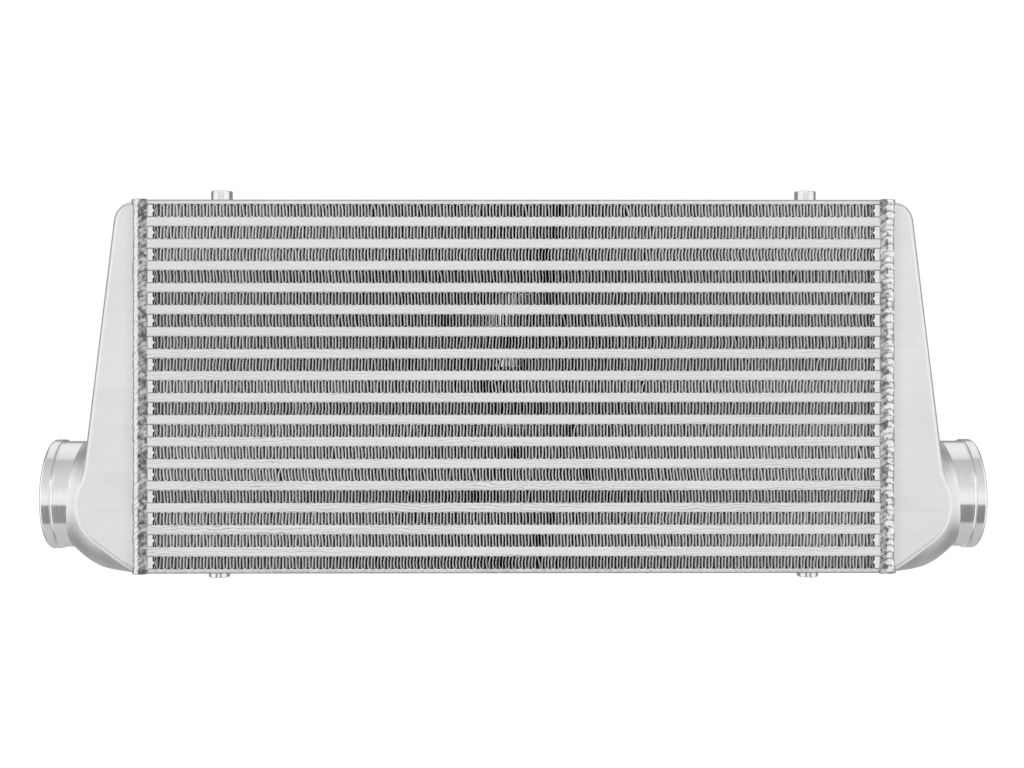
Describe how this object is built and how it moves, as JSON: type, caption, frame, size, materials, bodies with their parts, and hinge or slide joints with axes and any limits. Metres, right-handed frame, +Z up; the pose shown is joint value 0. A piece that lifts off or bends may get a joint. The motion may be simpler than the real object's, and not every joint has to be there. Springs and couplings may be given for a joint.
{
  "type": "intercooler",
  "caption": "Front-mount air-to-air intercooler: bar-and-plate aluminium core between cast end tanks, each with a hose neck low at its outer end, and threaded bosses above and below.",
  "frame": {"origin": "centre of the core, which is also the centre of the whole part's box", "axes": "+X from the left neck to the right neck as the picture shows them, +Y the way the outside air blows through from the front, +Z up"},
  "size_m": [0.778, 0.1032, 0.327],
  "materials": {
    "outside_fin": "bare brazed strip, satin",
    "charge_fin": "bare brazed strip, satin",
    "core_bar": "brazed extrusion, satin with flow marks",
    "parting_sheet": "clad sheet, brazed",
    "side_plate": "rolled plate, satin",
    "cast_tank": "fine satin casting, neck turned bright",
    "tank_weld": "as-laid weld bead, rippled",
    "boss": "turned bright",
    "boss_weld": "as-laid weld bead"
  },
  "bodies": {
    "root": {"ambient_fin_row_01": "outside_fin", "ambient_fin_row_02": "outside_fin", "ambient_fin_row_03": "outside_fin", "ambient_fin_row_04": "outside_fin", "ambient_fin_row_05": "outside_fin", "ambient_fin_row_06": "outside_fin", "ambient_fin_row_07": "outside_fin", "ambient_fin_row_08": "outside_fin", "ambient_fin_row_09": "outside_fin", "ambient_fin_row_10": "outside_fin", "ambient_fin_row_11": "outside_fin", "ambient_fin_row_12": "outside_fin", "ambient_fin_row_13": "outside_fin", "ambient_fin_row_14": "outside_fin", "ambient_fin_row_15": "outside_fin", "ambient_fin_row_16": "outside_fin", "ambient_fin_row_17": "outside_fin", "bottom_left_boss": "boss", "bottom_left_boss_weld": "boss_weld", "bottom_right_boss": "boss", "bottom_right_boss_weld": "boss_weld", "bottom_side_plate": "side_plate", "charge_fin_row_01": "charge_fin", "charge_fin_row_02": "charge_fin", "charge_fin_row_03": "charge_fin", "charge_fin_row_04": "charge_fin", "charge_fin_row_05": "charge_fin", "charge_fin_row_06": "charge_fin", "charge_fin_row_07": "charge_fin", "charge_fin_row_08": "charge_fin", "charge_fin_row_09": "charge_fin", "charge_fin_row_10": "charge_fin", "charge_fin_row_11": "charge_fin", "charge_fin_row_12": "charge_fin", "charge_fin_row_13": "charge_fin", "charge_fin_row_14": "charge_fin", "charge_fin_row_15": "charge_fin", "charge_fin_row_16": "charge_fin", "front_long_bars": "core_bar", "left_end_bars": "core_bar", "left_end_tank": "cast_tank", "left_tank_weld": "tank_weld", "parting_sheets": "parting_sheet", "rear_long_bars": "core_bar", "right_end_bars": "core_bar", "right_end_tank": "cast_tank", "right_tank_weld": "tank_weld", "top_left_boss": "boss", "top_left_boss_weld": "boss_weld", "top_right_boss": "boss", "top_right_boss_weld": "boss_weld", "top_side_plate": "side_plate"}
  },
  "joints": []
}
